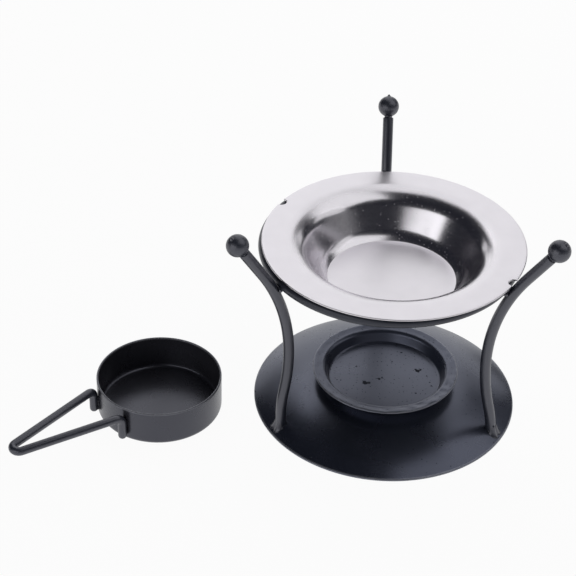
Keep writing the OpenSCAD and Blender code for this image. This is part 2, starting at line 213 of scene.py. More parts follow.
def sheet_outline(path, sheet):
    """Outline of a sheet from the axis out over its upper side, round its cut edge and back below.

    Each point has its radius, height, heading and how near it is to the cut edge."""
    half, edge_steps, near_edge = sheet / 2, 8, 2 * sheet
    upper = [(r - half * math.sin(a), z + half * math.cos(a), a) for r, z, a in path]
    lower = [(r + half * math.sin(a), z - half * math.cos(a), a + math.pi) for r, z, a in reversed(path)]
    end_r, end_z, heading = path[-1]
    edge = []
    for i in range(1, edge_steps):
        a = heading + math.pi / 2 - math.pi * i / edge_steps
        edge.append((end_r + half * math.cos(a), end_z + half * math.sin(a), heading))
    found = []
    for r, z, a in upper + edge + lower:
        near = max(0.0, 1 - math.hypot(r - end_r, z - end_z) / near_edge)
        found.append((max(0.0, r), z, a, near))
    return found


def spin(name, finish, outline, around, shape=None):
    """A closed mesh from an outline that starts and ends on the axis, turned through the given angles.

    shape may move a point: it takes radius, height and angle and gives the new radius and height."""
    bm = bmesh.new()
    edge = bm.verts.layers.float.new("cut_edge")
    slope = bm.verts.layers.float.new("wall_slope")
    under = bm.verts.layers.float.new("underside")
    rings = []
    for number, (r, z, heading, near) in enumerate(outline):
        pole = number in (0, len(outline) - 1)
        ring = []
        for a in around[:1] if pole else around:
            rr, zz = shape(r, z, a) if shape else (r, z)
            v = bm.verts.new((0 if pole else rr * math.cos(a), 0 if pole else rr * math.sin(a), zz))
            v[edge] = near
            v[slope] = abs(math.sin(heading))
            v[under] = 1 if math.cos(heading) < 0 else 0
            ring.append(v)
        rings.append(ring)
    count = len(around)
    for inner, outer in zip(rings, rings[1:]):
        for j in range(count):
            after = (j + 1) % count
            if len(inner) == 1:
                bm.faces.new((inner[0], outer[j], outer[after]))
            elif len(outer) == 1:
                bm.faces.new((inner[j], outer[0], inner[after]))
            else:
                bm.faces.new((inner[j], outer[j], outer[after], inner[after]))
    for face in bm.faces:
        face.smooth = True
    mesh = bpy.data.meshes.new(name)
    bm.to_mesh(mesh)
    bm.free()
    mesh.materials.append(finish)
    return mesh


def turned_from(a, at):
    """How far an angle is turned from another, up to half a turn either way."""
    return (a - at + math.pi) % math.tau - math.pi


def round_noise(a, waves, along):
    """Smooth noise round a full turn, quicker with more waves; along moves through it."""
    return noise.noise(Vector((math.cos(a) * waves, math.sin(a) * waves, along)))


def full_turn(steps, *fine):
    """Angles round a full turn, closer together at each (centre, half width, steps) given."""
    found = {round(math.tau * i / steps, 6) for i in range(steps)}
    for centre, half, more in fine:
        near = [(centre + half * (2 * i / more - 1)) % math.tau for i in range(more + 1)]
        found = {a for a in found if abs(turned_from(a, centre)) > half}
        found |= {round(a, 6) for a in near}
    return sorted(found)


def feed(made, inputs):
    """Gives a node's inputs their values, or links them to sockets or to the first output of nodes."""
    for key, value in inputs.items():
        if isinstance(value, Node):
            value = next(socket for socket in value.outputs if socket.enabled)
        if isinstance(value, NodeSocket):
            made.id_data.links.new(value, made.inputs[key])
        else:
            made.inputs[key].default_value = value


def add(tree, kind, inputs=None, **settings):
    """Adds a node with its settings and links."""
    made = tree.nodes.new(kind)
    for key, value in settings.items():
        setattr(made, key, value)
    feed(made, inputs or {})
    return made


def finish_material(name):
    """A material to fill and its shader, or the one that is there and None."""
    kept = bpy.data.materials.get(name)
    if kept:
        return kept, None
    made = bpy.data.materials.new(name)
    made.use_nodes = True
    return made, made.node_tree.nodes["Principled BSDF"]


def per_metre(mm):
    """Scale of a texture whose features are this many millimetres wide."""
    return 1 / (mm * MM)


def specks(tree, place, cell, width, least):
    """Sparse dots: of cells this many millimetres wide, each that draws more than least holds one dot."""
    node = partial(add, tree)
    cells = node("ShaderNodeTexVoronoi", {"Vector": place, "Scale": per_metre(cell), "Randomness": 1})
    dot = node("ShaderNodeMath", {0: cells, 1: width}, operation="LESS_THAN")
    drawn = node("ShaderNodeSeparateColor", {"Color": cells.outputs["Color"]})
    few = node("ShaderNodeMath", {0: drawn, 1: least}, operation="GREATER_THAN")
    return node("ShaderNodeMath", {0: dot, 1: few}, operation="MULTIPLY")


def pits(tree, place, chips, pinholes):
    """Ragged chips in a coat and, on its level parts, pinholes in this share of their cells."""
    node = partial(add, tree)
    tear = 1.6 * MM
    ragged = node("ShaderNodeTexNoise", {"Vector": place, "Scale": per_metre(1.1), "Detail": 3})
    push = node("ShaderNodeVectorMath", {0: ragged.outputs["Color"], 1: (0.5, 0.5, 0.5)},
                operation="SUBTRACT")
    shift = node("ShaderNodeVectorMath", {0: push, 1: (tear, tear, 0)}, operation="MULTIPLY")
    torn = node("ShaderNodeVectorMath", {0: place, 1: shift}, operation="ADD")
    # Gas came through the coat as it was baked; its holes are drawn a little wider than the real ones
    cells = node("ShaderNodeTexVoronoi", {"Vector": place, "Scale": per_metre(2.2), "Randomness": 1},
                 voronoi_dimensions="2D")
    drawn = node("ShaderNodeSeparateColor", {"Color": cells.outputs["Color"]})
    width = node("ShaderNodeMapRange", {"Value": drawn.outputs["Green"], "To Min": 0.04, "To Max": 0.13})
    prick = node("ShaderNodeMath", {0: cells, 1: width}, operation="LESS_THAN")
    some = node("ShaderNodeMath", {0: drawn, 1: pinholes}, operation="LESS_THAN")
    wall = node("ShaderNodeAttribute", attribute_name="wall_slope")
    level = node("ShaderNodeMath", {0: wall.outputs["Fac"], 1: 0.5}, operation="LESS_THAN")
    found = node("ShaderNodeMath", {0: prick, 1: some}, operation="MULTIPLY")
    found = node("ShaderNodeMath", {0: found, 1: level}, operation="MULTIPLY")
    for *spot, radius in chips:
        away = node("ShaderNodeVectorMath", {0: torn, 1: spot}, operation="DISTANCE")
        hole = node("ShaderNodeMath", {0: away, 1: radius}, operation="LESS_THAN")
        found = node("ShaderNodeMath", {0: found, 1: hole}, operation="MAXIMUM")
    return found


def coat_material(name, base, rough, chips=(), peel=0.9, shine=1, pinholes=0.0, cast=(0.79, 0.79, 0.88)):
    """Satin powder coat on steel, sprayed and baked: near black, with soft wide highlights, a faint orange
    peel, a little dust and a paler line along cut edges, partly coat rubbed thin and partly a painted
    highlight.

    Chips are (x, y, z, radius) in metres, peel is its grit in millimetres, shine the level of its gloss,
    cast the tint of that gloss and pinholes the share of cells that hold one, where there are chips."""
    made, shader = finish_material(name)
    if shader is None:
        return made
    kit = bpy.context.scene.burner_finishes
    tree = made.node_tree
    node = partial(add, tree)
    place = node("ShaderNodeTexCoord").outputs["Object"]
    cloud = node("ShaderNodeTexNoise", {"Vector": place, "Scale": per_metre(22), "Detail": 3})
    # The grit is a little coarser than the real peel, so that it shows
    level = node("ShaderNodeTexNoise", {"Vector": place, "Scale": per_metre(peel), "Detail": 2})
    paler = [min(1, c * 1.45) for c in base]
    skin = node("ShaderNodeMix", {"Factor": cloud, "A": (*base, 1), "B": (*paler, 1)}, data_type="RGBA")
    dust = specks(tree, place, 6, 0.035, 0.72)
    skin = node("ShaderNodeMix", {"Factor": dust, "A": skin, "B": (*kit.dust, 1)}, data_type="RGBA")
    # The paler line along the cut edge, partly wear and partly a painted highlight, is broken up by the
    # cloud
    edge = node("ShaderNodeAttribute", attribute_name="cut_edge")
    worn_and_highlight = node("ShaderNodeMapRange", {"Value": edge.outputs["Fac"], "From Min": 0.55, "From Max": 0.78,
                                       "To Max": 1.3})
    rub_and_highlight = node("ShaderNodeMath", {0: worn_and_highlight, 1: cloud}, operation="MULTIPLY")
    skin = node("ShaderNodeMix", {"Factor": rub_and_highlight, "A": skin, "B": (*kit.worn_edge_and_highlight, 1)}, data_type="RGBA")
    gloss = node("ShaderNodeMapRange", {"Value": cloud, "From Min": 0.3, "From Max": 0.7,
                                        "To Min": rough - 0.04, "To Max": rough + 0.05})
    if chips:
        # A pit is dark, sunken and dull
        pit = pits(tree, place, chips, pinholes)
        skin = node("ShaderNodeMix", {"Factor": pit, "A": skin, "B": (*kit.chip, 1)}, data_type="RGBA")
        level = node("ShaderNodeMath", {0: level, 1: pit}, operation="SUBTRACT")
        gloss = node("ShaderNodeMath", {0: gloss, 1: pit}, operation="MAXIMUM")
    bump = node("ShaderNodeBump", {"Height": level, "Strength": 0.12, "Distance": 0.05 * MM})
    feed(shader, {"Base Color": skin, "Roughness": gloss, "Normal": bump, "IOR": 1.6,
                  "Specular IOR Level": shine, "Specular Tint": (*cast, 1)})
    return made


def black_coat():
    """The coat of the legs, the balls and the handle."""
    return coat_material("satin black powder coat", bpy.context.scene.burner_finishes.coat, 0.36)


def weld_coat():
    """The coat over the welds: darker, with a finer grit."""
    darker = [c * 0.8 for c in bpy.context.scene.burner_finishes.coat]
    return coat_material("black powder coat over weld", darker, 0.28, peel=0.5)


def steel_material(centre):
    """Bare drawn steel: a satin rim and floor that blur what they mirror, and a wall that the die has drawn
    bright, with faint rings from the die and small rough specks."""
    made, shader = finish_material("bare drawn steel")
    kit = bpy.context.scene.burner_finishes
    tree = made.node_tree
    node = partial(add, tree)
    place = node("ShaderNodeTexCoord").outputs["Object"]
    from_axis = node("ShaderNodeMapping", {"Vector": place, "Location": (-centre.x, -centre.y, 0)})
    apart = node("ShaderNodeSeparateXYZ", {"Vector": from_axis})
    flat = node("ShaderNodeCombineXYZ", {"X": apart.outputs["X"], "Y": apart.outputs["Y"]})
    out = node("ShaderNodeVectorMath", {0: flat}, operation="LENGTH")
    # Die marks every 0.7 mm or so, coarser than the real ones so that they show
    rings = node("ShaderNodeTexNoise", {"W": out, "Scale": per_metre(0.7), "Detail": 3},
                 noise_dimensions="1D")
    bump = node("ShaderNodeBump", {"Height": rings, "Strength": 0.03, "Distance": 0.02 * MM})
    cloud = node("ShaderNodeTexNoise", {"Vector": place, "Scale": per_metre(9), "Detail": 4})
    wall = node("ShaderNodeAttribute", attribute_name="wall_slope").outputs["Fac"]
    drawn = node("ShaderNodeMapRange", {"Value": wall, "From Min": 0.1, "From Max": 0.75, "To Min": 0.28,
                                        "To Max": 0.18}, interpolation_type="SMOOTHSTEP")
    steep = node("ShaderNodeMath", {0: wall, 1: 0.45}, operation="GREATER_THAN")
    speck = specks(tree, place, 1.2, 0.15, 0.7)
    speck = node("ShaderNodeMath", {0: speck, 1: steep}, operation="MULTIPLY")
    rough = node("ShaderNodeMath", {0: speck, 1: 0.3, 2: drawn}, operation="MULTIPLY_ADD")
    rough = node("ShaderNodeMath", {0: cloud, 1: 0.05, 2: rough}, operation="MULTIPLY_ADD")
    duller = [c * 0.93 for c in kit.steel]
    tint = node("ShaderNodeMix", {"Factor": cloud, "A": (*kit.steel, 1), "B": (*duller, 1)},
                data_type="RGBA")
    # The underside is painted dark and dull as shade under the rim, and the specks are scale: neither shines
    # like metal
    below = node("ShaderNodeAttribute", attribute_name="underside").outputs["Fac"]
    tint = node("ShaderNodeMix", {"Factor": below, "A": tint, "B": (*kit.underside_shade, 1)}, data_type="RGBA")
    rough = node("ShaderNodeMath", {0: below, 1: 0.3, 2: rough}, operation="MULTIPLY_ADD")
    cover = node("ShaderNodeMath", {0: speck, 1: below}, operation="MAXIMUM")
    bare = node("ShaderNodeMath", {0: cover, 1: -0.85, 2: 1}, operation="MULTIPLY_ADD")
    feed(shader, {"Base Color": tint, "Roughness": rough, "Normal": bump, "Metallic": bare})
    return made


def place_piece(name, mesh, body, slot, *nodes):
    """Puts a finished mesh in the scene for these packed solids."""
    made = bpy.data.objects.new(name, mesh)
    bpy.context.scene.collection.objects.link(made)
    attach(made, body)
    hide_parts(*nodes)


def node_tree(name, inputs):
    """An empty Geometry Nodes tree with named inputs, and the sockets that give them."""
    tree = bpy.data.node_groups.new(name, "GeometryNodeTree")
    tree.interface.new_socket("Geometry", in_out="INPUT", socket_type="NodeSocketGeometry")
    for title, kind in inputs.items():
        tree.interface.new_socket(title, in_out="INPUT", socket_type="NodeSocket" + kind)
    tree.interface.new_socket("Geometry", in_out="OUTPUT", socket_type="NodeSocketGeometry")
    return tree, tree.nodes.new("NodeGroupInput").outputs


def close_tree(tree, geometry, material):
    """Ends a tree: smooth faces, real geometry, one material."""
    smooth = add(tree, "GeometryNodeSetShadeSmooth", {"Geometry": geometry, "Shade Smooth": True})
    real = add(tree, "GeometryNodeRealizeInstances", {"Geometry": smooth})
    coated = add(tree, "GeometryNodeSetMaterial", {"Geometry": real, "Material": material})
    add(tree, "NodeGroupOutput", {"Geometry": coated})
    return tree


def rod_tree():
    """Round bar that follows a path; the path's swell thins it at its ends."""
    kept = bpy.data.node_groups.get("Round bar")
    if kept:
        return kept
    tree, given = node_tree("Round bar", {"Diameter": "Float", "Sides": "Int", "Coat": "Material"})
    node = partial(add, tree)
    line = node("GeometryNodeMeshToCurve", {"Mesh": given["Geometry"]})
    swell = node("GeometryNodeInputNamedAttribute", {"Name": "swell"}, data_type="FLOAT")
    radius = node("ShaderNodeMath", {0: given["Diameter"], 1: 0.5}, operation="MULTIPLY")
    scale = node("ShaderNodeMath", {0: radius, 1: swell}, operation="MULTIPLY")
    section = node("GeometryNodeCurvePrimitiveCircle", {"Resolution": given["Sides"], "Radius": 1.0})
    bar = node("GeometryNodeCurveToMesh", {"Curve": line, "Profile Curve": section, "Scale": scale,
                                           "Fill Caps": True})
    return close_tree(tree, bar, given["Coat"])


def bead_tree():
    """Weld metal laid along a seam: lumps of uneven size, melted into one body."""
    kept = bpy.data.node_groups.get("Weld bead")
    if kept:
        return kept
    tree, given = node_tree("Weld bead", {"Radius": "Float", "Lumps": "Int", "Seed": "Int", "Grain": "Float",
                                          "Coat": "Material"})
    node = partial(add, tree)
    seam = node("GeometryNodeMeshToCurve", {"Mesh": given["Geometry"]})
    spots = node("GeometryNodeCurveToPoints", {"Curve": seam, "Count": given["Lumps"]})
    lump = node("GeometryNodeMeshIcoSphere", {"Radius": given["Radius"], "Subdivisions": 3})
    uneven = node("FunctionNodeRandomValue", {2: 0.72, 3: 1.18, "Seed": given["Seed"]})
    swell = node("GeometryNodeInputNamedAttribute", {"Name": "swell"}, data_type="FLOAT")
    scale = node("ShaderNodeMath", {0: uneven, 1: swell}, operation="MULTIPLY")
    laid = node("GeometryNodeInstanceOnPoints", {"Points": spots, "Instance": lump, "Scale": scale})
    loose = node("GeometryNodeRealizeInstances", {"Geometry": laid})
    fog = node("GeometryNodeMeshToVolume", {"Mesh": loose, "Voxel Size": given["Grain"],
                                            "Interior Band Width": given["Radius"]},
               resolution_mode="VOXEL_SIZE")
    body = node("GeometryNodeVolumeToMesh", {"Volume": fog, "Threshold": 0.1})
    spot = node("GeometryNodeInputPosition")
    soft = node("GeometryNodeBlurAttribute", {"Value": spot.outputs["Position"], "Iterations": 3},
                data_type="FLOAT_VECTOR")
    melted = node("GeometryNodeSetPosition", {"Geometry": body, "Position": soft})
    return close_tree(tree, melted, given["Coat"])


def grown(name, tree, path, closed=False, **values):
    """The plain mesh that a tree makes along a path of (point, swell)."""
    line = bpy.data.meshes.new(name + " path")
    count = len(path)
    edges = [(i, (i + 1) % count) for i in range(count if closed else count - 1)]
    line.from_pydata([p for p, _ in path], edges, [])
    swell = line.attributes.new("swell", "FLOAT", "POINT")
    swell.data.foreach_set("value", [s for _, s in path])
    holder = bpy.data.objects.new(name + " path", line)
    bpy.context.scene.collection.objects.link(holder)
    grower = holder.modifiers.new("grow", "NODES")
    grower.node_group = tree
    for item in tree.interface.items_tree:
        if item.in_out == "INPUT" and item.name in values:
            grower[item.identifier] = values[item.name]
    depsgraph = bpy.context.evaluated_depsgraph_get()
    mesh = bpy.data.meshes.new_from_object(holder.evaluated_get(depsgraph), depsgraph=depsgraph)
    mesh.name = name
    holder.modifiers.remove(grower)
    bpy.data.objects.remove(holder)
    bpy.data.meshes.remove(line)
    if not mesh.polygons:
        raise RuntimeError(f"{name} came out empty")
    return mesh


def with_round_ends(points, radius, start, end):
    """Path of (point, swell) whose bar has its ends rounded by start and end; 0 leaves an end square."""
    steps = 6
    path = [(Vector(p), 1.0) for p in points]
    for by in (start, end):
        if by:
            tip = path[0][0]
            way = (path[1][0] - tip).normalized()
            turns = [math.pi / 2 * i / steps for i in range(steps)]
            rounded = [(tip + way * by * (1 - math.cos(a)), 1 - by / radius * (1 - math.sin(a)))
                       for a in turns]
            path = rounded + [(tip + way * by, 1.0)] + path[1:]
        path.reverse()
    return path


def dome(r):
    """Height of the plate's upper side at a radius, and its slope downwards."""
    plate = bpy.context.scene.burner_plate
    flat = plate.cup_floor / 2
    span, fall = plate.diameter / 2 - flat, plate.height - plate.edge_height
    radius = (span * span + fall * fall) / (2 * fall)
    off = max(0.0, min(span, r - flat))
    return plate.height - radius + math.sqrt(radius * radius - off * off), math.asin(off / radius)


def ring_radius():
    """Radius of the ring's centre line, under the edge of the dish."""
    scene = bpy.context.scene
    return scene.burner_dish.diameter / 2 - scene.burner_rods.ring_bar / 2


def ring_centre():
    """Place of the ring's axis on the table."""
    rods = bpy.context.scene.burner_rods
    return Vector((rods.ring_off_x, rods.ring_off_y))


def round_ring(a, r, z):
    """The point in this direction from the ring's axis, this far from it and this high."""
    middle = ring_centre()
    return Vector((middle.x + r * math.cos(a), middle.y + r * math.sin(a), z))


def leg_direction(leg):
    """Direction of a leg from the ring's centre."""
    return getattr(bpy.context.scene.burner_rods, leg + "_leg")


def at_leg(point, leg):
    """A point of a leg's upright plane, (distance from the ring's axis, height), in its place."""
    return round_ring(leg_direction(leg), *point)


def at_ball(ball, leg):
    """Place and lean of a ball on the end of its leg."""
    lean = Matrix.Rotation(bpy.context.scene.burner_rods.top_lean, 4, "Y")
    return Matrix.Translation(at_leg(ball, leg)) @ (Matrix.Rotation(leg_direction(leg), 4, "Z") @ lean)


def leg_line(leg):
    """A leg's line in its upright plane, the ball's centre, the weld's place on the ring and the foot's
    distance from the ring's axis."""
    rods = bpy.context.scene.burner_rods
    foot_steps, sweep_steps = 12, 40
    rise = rods.ring_top - rods.ring_bar / 2 - rods.waist
    clear = rods.sweep + rods.rod / 2 + rods.weld_gap + rods.ring_bar / 2
    centre = (ring_radius() + math.sqrt(clear * clear - rise * rise), rods.waist)
    # The feet stand in a circle round the plate's centre
    off, a = ring_centre(), leg_direction(leg)
    along = off.dot(Vector((math.cos(a), math.sin(a))))
    circle = bpy.context.scene.burner_plate.diameter / 2 - rods.foot_inset
    foot = math.sqrt(circle * circle - off.length_squared + along * along) - along
    both = rods.sweep + rods.foot_bend
    foot_turn = math.acos(1 - (foot - centre[0] + rods.sweep) / both)
    foot_z = rods.waist - both * math.sin(foot_turn)
    points = [(foot, min(0, foot_z) - rods.rod)]
    for i in range(foot_steps + 1):
        t = foot_turn * i / foot_steps
        out = foot - rods.foot_bend + rods.foot_bend * math.cos(t)
        points.append((out, foot_z + rods.foot_bend * math.sin(t)))
    for i in range(1, sweep_steps + 1):
        t = math.pi + foot_turn - (foot_turn + rods.top_lean) * i / sweep_steps
        points.append((centre[0] + rods.sweep * math.cos(t), centre[1] + rods.sweep * math.sin(t)))
    # The foot ends just under the plate's surface
    low = dome(circle)[0] - rods.rod / 4
    first = next(i for i, p in enumerate(points) if p[1] > low + rods.rod / 8)
    below, above = points[first - 1], points[first]
    share = (low - below[1]) / (above[1] - below[1])
    points = [(below[0] + (above[0] - below[0]) * share, low)] + points[first:]
    top = Vector(points[-1])
    way = Vector((math.sin(rods.top_lean), math.cos(rods.top_lean)))
    to_ball = (rods.height - rods.ball / 2 - top.y) / way.y
    end = top + way * (to_ball - rods.ball / 2 - rods.neck_gap)
    points += [tuple(top + (end - top) * t) for t in (0.25, 0.5, 0.75, 1)]
    lean = math.asin(rise / clear)
    weld_at = rods.sweep + (rods.rod + rods.weld_gap) / 2
    weld = (centre[0] - weld_at * math.cos(lean), centre[1] + weld_at * math.sin(lean))
    return points, tuple(top + way * to_ball), weld, foot


def pan_centre():
    """Middle of the packed pan."""
    low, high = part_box("pan")
    return (low + high) / 2


class BURNER_OT_stage(Operator):
    """Camera, table top, softboxes and surroundings"""
    bl_idname = "burner.stage"
    bl_label = "Stage"

    def execute(self, context):
        scene = context.scene
        scene.view_settings.view_transform = "Standard"
        self.camera(scene)
        floor = bpy.data.meshes.new("table top")
        half = 15
        corners = [(-half, -half, 0), (half, -half, 0), (half, half, 0), (-half, half, 0)]
        floor.from_pydata(corners, [], [(0, 1, 2, 3)])
        floor.materials.append(self.table(scene.burner_finishes.floor))
        top = bpy.data.objects.new("table_top", floor)
        scene.collection.objects.link(top)
        world = bpy.data.worlds.new("studio")
        world.use_nodes = True
        feed(world.node_tree.nodes["Background"], {"Color": (*scene.burner_finishes.studio, 1)})
        scene.world = world
        for softbox in SOFTBOXES:
            self.softbox(scene, *softbox)
        return {"FINISHED"}

    def camera(self, scene):
        """The camera, fitted to the round edges that the photograph shows."""
        eye = Vector((0, -632.7, 513.3)) * MM
        yaw, pitch, roll = (math.radians(a) for a in (-4.315, -35.589, 1.678))
        focal_px, picture_px = 1674.555, 576
        level = Vector((math.sin(yaw), math.cos(yaw), 0))
        ahead = level * math.cos(pitch) + Vector((0, 0, math.sin(pitch)))
        side = ahead.cross(Vector((0, 0, 1))).normalized()
        over = side.cross(ahead)
        right = math.cos(roll) * side + math.sin(roll) * over
        up = math.cos(roll) * over - math.sin(roll) * side
        lens = bpy.data.cameras.new("photo camera")
        lens.sensor_width = 36
        lens.lens = lens.sensor_width * focal_px / picture_px
        lens.clip_start, lens.clip_end = 0.01, 100
        made = bpy.data.objects.new("photo_camera", lens)
        made.matrix_world = Matrix.Translation(eye) @ Matrix((right, up, -ahead)).transposed().to_4x4()
        scene.collection.objects.link(made)
        scene.camera = made

    def softbox(self, scene, name, centre, back, size, level):
        """An even rectangle of light."""
        lamp = bpy.data.lights.new(name, "AREA")
        lamp.shape = "RECTANGLE"
        lamp.size, lamp.size_y = size
        lamp.energy = level * math.pi * size[0] * size[1]
        made = bpy.data.objects.new(name, lamp)
        made.location = Vector(centre) + Vector((0, 0, scene.burner_rods.ring_top))
        made.rotation_mode = "QUATERNION"
        made.rotation_quaternion = Vector(back).to_track_quat("Z", "Y")
        made.visible_camera = False
        scene.collection.objects.link(made)

    def table(self, tone):
        """Pale matt table top: white to the eye and in reflections, with a soft shadow."""
        made, shader = finish_material("pale table top")
        tree = made.node_tree
        tree.nodes.remove(shader)
        node = partial(add, tree)
        white_share = 0.95
        seen = node("ShaderNodeLightPath").outputs
        direct = node("ShaderNodeMath", {0: seen["Is Camera Ray"], 1: seen["Is Glossy Ray"]},
                      operation="MAXIMUM")
        either = node("ShaderNodeMath", {0: direct, 1: seen["Is Transmission Ray"]}, operation="MAXIMUM")
        share = node("ShaderNodeMath", {0: either, 1: white_share}, operation="MULTIPLY")
        matt = node("ShaderNodeBsdfDiffuse", {"Color": (*tone, 1)})
        white = node("ShaderNodeEmission", {"Color": (1, 1, 1, 1), "Strength": 1})
        both = node("ShaderNodeMixShader", {0: share, 1: matt, 2: white})
        feed(tree.nodes["Material Output"], {"Surface": both})
        return made


class BURNER_OT_plate(Operator):
    """Domed base plate on its rim"""
    bl_idname = "burner.plate"
    bl_label = "Base plate"

    def execute(self, context):
        plate = context.scene.burner_plate
        edge_r, flat = plate.diameter / 2, plate.cup_floor / 2
        steps, flat_steps = 48, 6
        # The band next to the cut edge gets the paler line: partly wear, partly a painted highlight
        rubbed, ease, least_z = 1.5 * MM, 0.25 * MM, 0.02 * MM
        upper = [(flat * i / flat_steps, plate.height, 0, 0) for i in range(flat_steps)]
        for i in range(steps + 1):
            r = flat + (edge_r - flat) * i / steps
            z, fall = dome(r)
            upper.append((r, z, fall, max(0.0, 1 - (edge_r - r) / rubbed)))
        # The cut edge is a little eased at its upper corner
        r, z, fall, _ = upper.pop()
        upper += [(r - ease, z + ease * 0.35, fall, 1), (r - ease * 0.3, z - ease * 0.2, fall, 1),
                  (r, z - ease, fall, 1), (r, ease, 0, 0.6), (r - ease, 0, 0, 0)]
        lower = []
        for i in range(steps + 1):
            r = edge_r - (edge_r - flat) * i / steps
            z, fall = dome(r)
            under_r, under_z = r - plate.sheet * math.sin(fall), z - plate.sheet * math.cos(fall)
            if under_z > least_z:
                lower.append((under_r, under_z, fall, 0))
        r, z, fall, _ = lower[0]
        lower.insert(0, (r + z / math.tan(fall), 0, 0, 0))
        under_centre = plate.height - plate.sheet
        lower += [(flat * i / flat_steps, under_centre, 0, 0) for i in reversed(range(flat_steps))]
        swell, wave, full_r, foot_z = 0.08 * MM, 30 * MM, 50 * MM, 2 * MM

        def uneven(r, z, a):
            # A pressed plate is never quite even: slow swells of a few hundredths of a millimetre
            lift = round_noise(a, 1.3, r / wave)
            return r, z + (swell * lift * min(1, r / full_r) if z > foot_z else 0)

        chip = (21.6 * MM, 36.7 * MM, dome(42.6 * MM)[0], 0.65 * MM)
        tone = context.scene.burner_finishes.coat
        coat = coat_material("satin black powder coat on the plate", tone, 0.27, [chip], pinholes=0.12,
                             cast=(0.72, 0.77, 1))
        mesh = spin("pressed base plate", coat, upper + lower, full_turn(288), uneven)
        place_piece("pressed_base_plate", mesh, "stand", "black_coat", "base_plate")
        return {"FINISHED"}


class BURNER_OT_cup(Operator):
    """Shallow candle cup with a rolled crest"""
    bl_idname = "burner.cup"
    bl_label = "Candle cup"

    def execute(self, context):
        plate = context.scene.burner_plate
        floor_r, floor_z = plate.cup_floor / 2, plate.height + plate.cup_sheet / 2
        slope = math.pi / 2 - plate.cup_lean
        crest_z = floor_z + plate.cup_depth - plate.cup_crest
        corner_rise = plate.cup_corner * (1 - math.cos(slope))
        rise = crest_z + plate.cup_crest * math.cos(slope) - floor_z - corner_rise
        crest_r = floor_r + (plate.cup_corner + plate.cup_crest) * math.sin(slope) + rise / math.tan(slope)
        flange_run = plate.cup_flange - plate.cup_crest * math.sin(plate.cup_fall)
        edge_z = crest_z + plate.cup_crest * math.cos(plate.cup_fall) - flange_run * math.tan(plate.cup_fall)
        edge = (crest_r + plate.cup_flange, edge_z, -plate.cup_fall)
        path = run((0, floor_z, 0), (floor_r, floor_z, 0), 24)
        path += arc((floor_r, floor_z + plate.cup_corner), plate.cup_corner, 0, slope, 12)
        crest = arc((crest_r, crest_z), plate.cup_crest, slope, -plate.cup_fall, 18)
        path += crest + run(crest[-1], edge, 8)[1:] + [edge]
        deepest, spread = math.radians(325), 0.5
        dent_size, rise_by, roll_by = 3 * MM, 0.85 * MM, 0.12 * MM

        def hammered(r, z, a):
            # The flange was dressed by hand: small dents all round, deepest at the right front
            out = max(0.0, min(1.0, (r - crest_r + plate.cup_crest) / plate.cup_flange))
            front = math.exp(-turned_from(a, deepest) ** 2 / spread)
            dent = round_noise(a, 9, r / dent_size)
            slow = round_noise(a, 2, 4.0)
            drop = plate.cup_dent * out * (dent * (0.35 + 0.9 * front) + 0.6 * slow)
            # It rises a little towards its edge, where it rolls over
            along = max(0.0, (r - crest_r) / plate.cup_flange)
            lift = rise_by * along * along / (along + 0.15) - roll_by * along ** 12
            return r + 0.5 * drop, z + drop + lift

        floor_top = plate.height + plate.cup_sheet
        chips = [(x * MM, y * MM, floor_top, r * MM) for x, y, r in CUP_CHIPS]
        # The cup's coat is made half as light again as the stand's
        greyed = [c * 1.5 for c in context.scene.burner_finishes.coat]
        coat = coat_material("satin black powder coat in the cup", greyed, 0.3, chips, pinholes=0.5,
                             cast=(0.72, 0.77, 1))
        outline = sheet_outline(path, plate.cup_sheet)
        mesh = spin("pressed candle cup", coat, outline, full_turn(288), hammered)
        place_piece("pressed_candle_cup", mesh, "stand", "black_coat", "candle_cup")
        return {"FINISHED"}


class BURNER_OT_legs(Operator):
    """Three bent rod legs"""
    bl_idname = "burner.legs"
    bl_label = "Legs"

    def execute(self, context):
        rods = context.scene.burner_rods
        eased, sunk = 0.35 * MM, 0.1 * MM
        for leg in LEGS:
            line, _, _, _ = leg_line(leg)
            path = with_round_ends([at_leg(p, leg) for p in line], rods.rod / 2, 0, eased)
            mesh = grown("bent leg " + leg, rod_tree(), path, Diameter=rods.rod, Sides=rods.sides,
                         Coat=black_coat())
            # The foot is cut to the dome
            foot = path[0][0].z + rods.rod / 16
            for v in mesh.vertices:
                if v.co.z < foot:
                    v.co.z = dome(math.hypot(v.co.x, v.co.y))[0] - sunk
            place_piece("bent_leg_" + leg, mesh, "stand", "black_coat", "leg_" + leg)
        return {"FINISHED"}


class BURNER_OT_balls(Operator):
    """Balls on the ends of the legs, each with the stub of its sprue"""
    bl_idname = "burner.balls"
    bl_label = "Balls"

    def execute(self, context):
        radius = context.scene.burner_rods.ball / 2
        steps, stub_height, stub_radius = 96, 0.8 * MM, 0.65 * MM
        outline = []
        for i in range(steps + 1):
            a = math.pi / 2 - math.pi * i / steps
            r, z = radius * math.cos(a), radius * math.sin(a)
            if z > 0:
                # The stub stands on the far end
                z += stub_height * math.exp(-(r / stub_radius) ** 4)
            outline.append((r, z, 0, 0))
        for leg in LEGS:
            _, ball, _, _ = leg_line(leg)
            mesh = spin("turned ball " + leg, black_coat(), outline, full_turn(72))
            mesh.transform(at_ball(ball, leg))
            place_piece("turned_ball_" + leg, mesh, "stand", "black_coat", "ball_" + leg)
        return {"FINISHED"}


